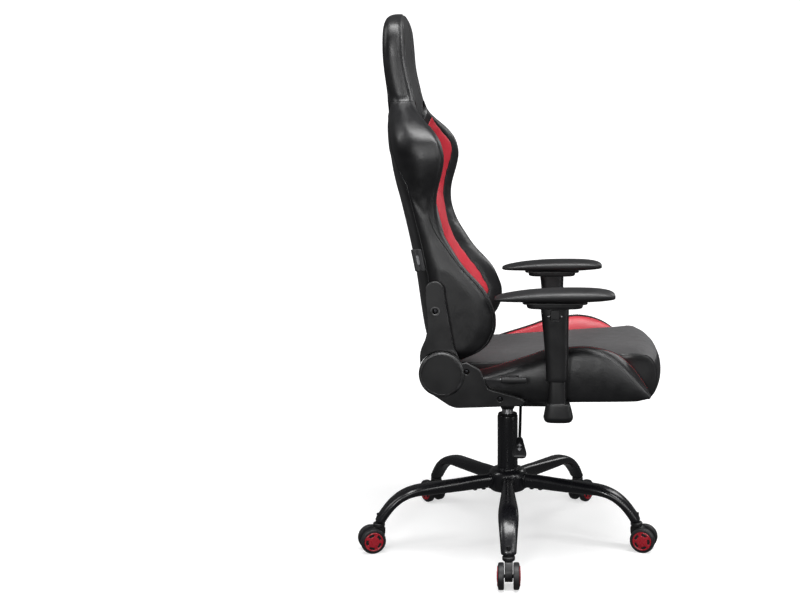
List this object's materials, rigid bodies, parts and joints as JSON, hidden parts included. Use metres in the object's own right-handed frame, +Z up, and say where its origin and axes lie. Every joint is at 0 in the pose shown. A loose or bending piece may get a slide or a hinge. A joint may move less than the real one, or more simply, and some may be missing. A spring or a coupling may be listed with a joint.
{
  "type": "gaming chair",
  "caption": "Racing-style swivel chair with a winged reclining back, bucket seat, height-adjustable armrests, gas lift, tilt mechanism and twin-wheel casters.",
  "frame": {"origin": "on the floor, under the middle of the chair's outer box", "axes": "+X forward, the way the sitter faces; +Y to the sitter's left; +Z up"},
  "size_m": [0.7235, 0.6948, 1.264],
  "materials": {
    "gloss_black_steel": "gloss",
    "black_nylon": "satin",
    "caster_wheel": "gloss",
    "bare_steel": "satin",
    "satin_black_steel": "satin",
    "black_plastic": "satin",
    "plywood": "matte",
    "seat_fabric": "matte",
    "black_leatherette": "satin",
    "red_leatherette": "satin",
    "bracket_cover": "satin",
    "armrest_plastic": "satin",
    "armrest_pad": "matte"
  },
  "bodies": {
    "base": {"base_hub": "gloss_black_steel", "leg_1": "gloss_black_steel", "leg_2": "gloss_black_steel", "leg_3": "gloss_black_steel", "leg_4": "gloss_black_steel", "leg_5": "gloss_black_steel", "column_tube": "gloss_black_steel", "guide_bush": "black_nylon"},
    "caster_1": {"caster_1_body": "black_nylon"},
    "caster_1_wheel_a": {"caster_1_wheel_a": "caster_wheel"},
    "caster_1_wheel_b": {"caster_1_wheel_b": "caster_wheel"},
    "caster_2": {"caster_2_body": "black_nylon"},
    "caster_2_wheel_a": {"caster_2_wheel_a": "caster_wheel"},
    "caster_2_wheel_b": {"caster_2_wheel_b": "caster_wheel"},
    "caster_3": {"caster_3_body": "black_nylon"},
    "caster_3_wheel_a": {"caster_3_wheel_a": "caster_wheel"},
    "caster_3_wheel_b": {"caster_3_wheel_b": "caster_wheel"},
    "caster_4": {"caster_4_body": "black_nylon"},
    "caster_4_wheel_a": {"caster_4_wheel_a": "caster_wheel"},
    "caster_4_wheel_b": {"caster_4_wheel_b": "caster_wheel"},
    "caster_5": {"caster_5_body": "black_nylon"},
    "caster_5_wheel_a": {"caster_5_wheel_a": "caster_wheel"},
    "caster_5_wheel_b": {"caster_5_wheel_b": "caster_wheel"},
    "piston": {"piston_rod": "bare_steel"},
    "mechanism": {"gas_cylinder": "bare_steel", "mechanism_housing": "satin_black_steel", "tilt_pivot_pin": "bare_steel", "tension_spring": "bare_steel"},
    "release_pin": {"gas_release_pin": "bare_steel"},
    "tilt_lock": {"tilt_lock_bolt": "bare_steel"},
    "height_lever": {"height_lever_rod": "satin_black_steel", "height_lever_paddle": "black_plastic"},
    "seat": {"seat_plate": "satin_black_steel", "seat_pan": "plywood", "seat_cushion": "seat_fabric", "seat_bolster_left": "black_leatherette", "seat_bolster_right": "black_leatherette", "recliner_lower_bracket_left": "bracket_cover", "recliner_lower_bracket_right": "bracket_cover", "pivot_disc_left": "bracket_cover", "pivot_disc_right": "bracket_cover", "armrest_bracket_left": "satin_black_steel", "armrest_bracket_right": "satin_black_steel", "armrest_post_left": "armrest_plastic", "armrest_post_right": "armrest_plastic"},
    "tension_knob": {"tension_knob": "black_plastic"},
    "recline_release": {"recline_lever": "satin_black_steel", "recline_lever_grip": "black_plastic", "recliner_sync_rod": "bare_steel"},
    "backrest": {"back_cushion": "black_leatherette", "back_rear_cover": "black_leatherette", "back_frame": "satin_black_steel", "recliner_upper_bracket_left": "bracket_cover", "recliner_upper_bracket_right": "bracket_cover"},
    "armrest_left": {"armrest_sleeve_left": "armrest_plastic", "armrest_pad_left": "armrest_pad"},
    "armrest_button_left": {"armrest_button_left": "armrest_plastic"},
    "armrest_right": {"armrest_sleeve_right": "armrest_plastic", "armrest_pad_right": "armrest_pad"},
    "armrest_button_right": {"armrest_button_right": "armrest_plastic"}
  },
  "joints": [
    {"name": "caster_1_swivel", "type": "hinge", "parent": "base", "child": "caster_1", "pos_m": [0.01043, -0.29983, 0.06], "axis": [0, 0, 1], "continuous": true},
    {"name": "caster_1_wheel_a_spin", "type": "hinge", "parent": "caster_1", "child": "caster_1_wheel_a", "pos_m": [0.02701, -0.31731, 0.03], "axis": [0.9995, 0.0321, 0], "continuous": true},
    {"name": "caster_1_wheel_b_spin", "type": "hinge", "parent": "caster_1", "child": "caster_1_wheel_b", "pos_m": [-0.00498, -0.31834, 0.03], "axis": [0.9995, 0.0321, 0], "continuous": true},
    {"name": "caster_2_swivel", "type": "hinge", "parent": "base", "child": "caster_2", "pos_m": [0.31216, -0.06545, 0.06], "axis": [0, 0, 1], "continuous": true},
    {"name": "caster_2_wheel_a_spin", "type": "hinge", "parent": "caster_2", "child": "caster_2_wheel_a", "pos_m": [0.3339, -0.0551, 0.03], "axis": [0.2783, 0.9605, 0], "continuous": true},
    {"name": "caster_2_wheel_b_spin", "type": "hinge", "parent": "caster_2", "child": "caster_2_wheel_b", "pos_m": [0.32499, -0.08583, 0.03], "axis": [0.2783, 0.9605, 0], "continuous": true},
    {"name": "caster_3_swivel", "type": "hinge", "parent": "base", "child": "caster_3", "pos_m": [0.18249, 0.29393, 0.06], "axis": [0, 0, 1], "continuous": true},
    {"name": "caster_3_wheel_a_spin", "type": "hinge", "parent": "caster_3", "child": "caster_3_wheel_a", "pos_m": [0.17936, 0.31781, 0.03], "axis": [-0.8275, 0.5615, 0], "continuous": true},
    {"name": "caster_3_wheel_b_spin", "type": "hinge", "parent": "caster_3", "child": "caster_3_wheel_b", "pos_m": [0.20584, 0.29984, 0.03], "axis": [-0.8275, 0.5615, 0], "continuous": true},
    {"name": "caster_4_swivel", "type": "hinge", "parent": "base", "child": "caster_4", "pos_m": [-0.19937, 0.28166, 0.06], "axis": [0, 0, 1], "continuous": true},
    {"name": "caster_4_wheel_a_spin", "type": "hinge", "parent": "caster_4", "child": "caster_4_wheel_a", "pos_m": [-0.22305, 0.28606, 0.03], "axis": [-0.7897, -0.6135, 0], "continuous": true},
    {"name": "caster_4_wheel_b_spin", "type": "hinge", "parent": "caster_4", "child": "caster_4_wheel_b", "pos_m": [-0.19778, 0.30569, 0.03], "axis": [-0.7897, -0.6135, 0], "continuous": true},
    {"name": "caster_5_swivel", "type": "hinge", "parent": "base", "child": "caster_5", "pos_m": [-0.30571, -0.0853, 0.06], "axis": [0, 0, 1], "continuous": true},
    {"name": "caster_5_wheel_a_spin", "type": "hinge", "parent": "caster_5", "child": "caster_5_wheel_a", "pos_m": [-0.31721, -0.10646, 0.03], "axis": [0.3394, -0.9406, 0], "continuous": true},
    {"name": "caster_5_wheel_b_spin", "type": "hinge", "parent": "caster_5", "child": "caster_5_wheel_b", "pos_m": [-0.32807, -0.07636, 0.03], "axis": [0.3394, -0.9406, 0], "continuous": true},
    {"name": "seat_swivel", "type": "hinge", "parent": "base", "child": "piston", "pos_m": [0, 0.025, 0.15], "axis": [0, 0, 1], "continuous": true},
    {"name": "seat_lift", "type": "slide", "parent": "piston", "child": "mechanism", "axis": [0, 0, 1], "range_m": [0, 0.08]},
    {"name": "gas_release", "type": "slide", "parent": "mechanism", "child": "release_pin", "axis": [0, 0, -1], "range_m": [0, 0.005]},
    {"name": "tilt_lock_slide", "type": "slide", "parent": "mechanism", "child": "tilt_lock", "axis": [0, -1, 0], "range_m": [0, 0.012]},
    {"name": "height_lever_lift", "type": "hinge", "parent": "tilt_lock", "child": "height_lever", "pos_m": [0.033, -0.041, 0.356], "axis": [-1, 0, 0], "range_deg": [0, 4.8], "stiffness_Nm_per_rad": 6, "springref_deg": -5.73},
    {"name": "seat_tilt", "type": "hinge", "parent": "mechanism", "child": "seat", "pos_m": [0.03, 0.025, 0.372], "axis": [0, -1, 0], "range_deg": [0, 12], "stiffness_Nm_per_rad": 150, "springref_deg": -17.19, "deforming": ["tension_spring"]},
    {"name": "tension_knob_turn", "type": "hinge", "parent": "seat", "child": "tension_knob", "pos_m": [0.122, 0.025, 0.308], "axis": [0, 0, 1], "continuous": true},
    {"name": "backrest_recline", "type": "hinge", "parent": "seat", "child": "backrest", "pos_m": [-0.139, 0.025, 0.468], "axis": [0, -1, 0], "range_deg": [0, 55]},
    {"name": "recline_lever_pull", "type": "hinge", "parent": "seat", "child": "recline_release", "pos_m": [-0.139, 0.025, 0.468], "axis": [0, -1, 0], "range_deg": [0, 22], "stiffness_Nm_per_rad": 1.5, "springref_deg": -34.38},
    {"name": "armrest_left_height", "type": "slide", "parent": "seat", "child": "armrest_left", "axis": [0, 0, 1], "range_m": [-0.045, 0.03]},
    {"name": "armrest_left_button_press", "type": "slide", "parent": "armrest_left", "child": "armrest_button_left", "axis": [0, -1, 0], "range_m": [0, 0.002], "stiffness_N_per_m": 800, "springref_m": -0.004},
    {"name": "armrest_right_height", "type": "slide", "parent": "seat", "child": "armrest_right", "axis": [0, 0, 1], "range_m": [-0.045, 0.03]},
    {"name": "armrest_right_button_press", "type": "slide", "parent": "armrest_right", "child": "armrest_button_right", "axis": [0, 1, 0], "range_m": [0, 0.002], "stiffness_N_per_m": 800, "springref_m": -0.004}
  ],
  "couplings": [
    {"joint": "gas_release", "follows": "height_lever_lift", "m_per_rad": 0.059086}
  ]
}
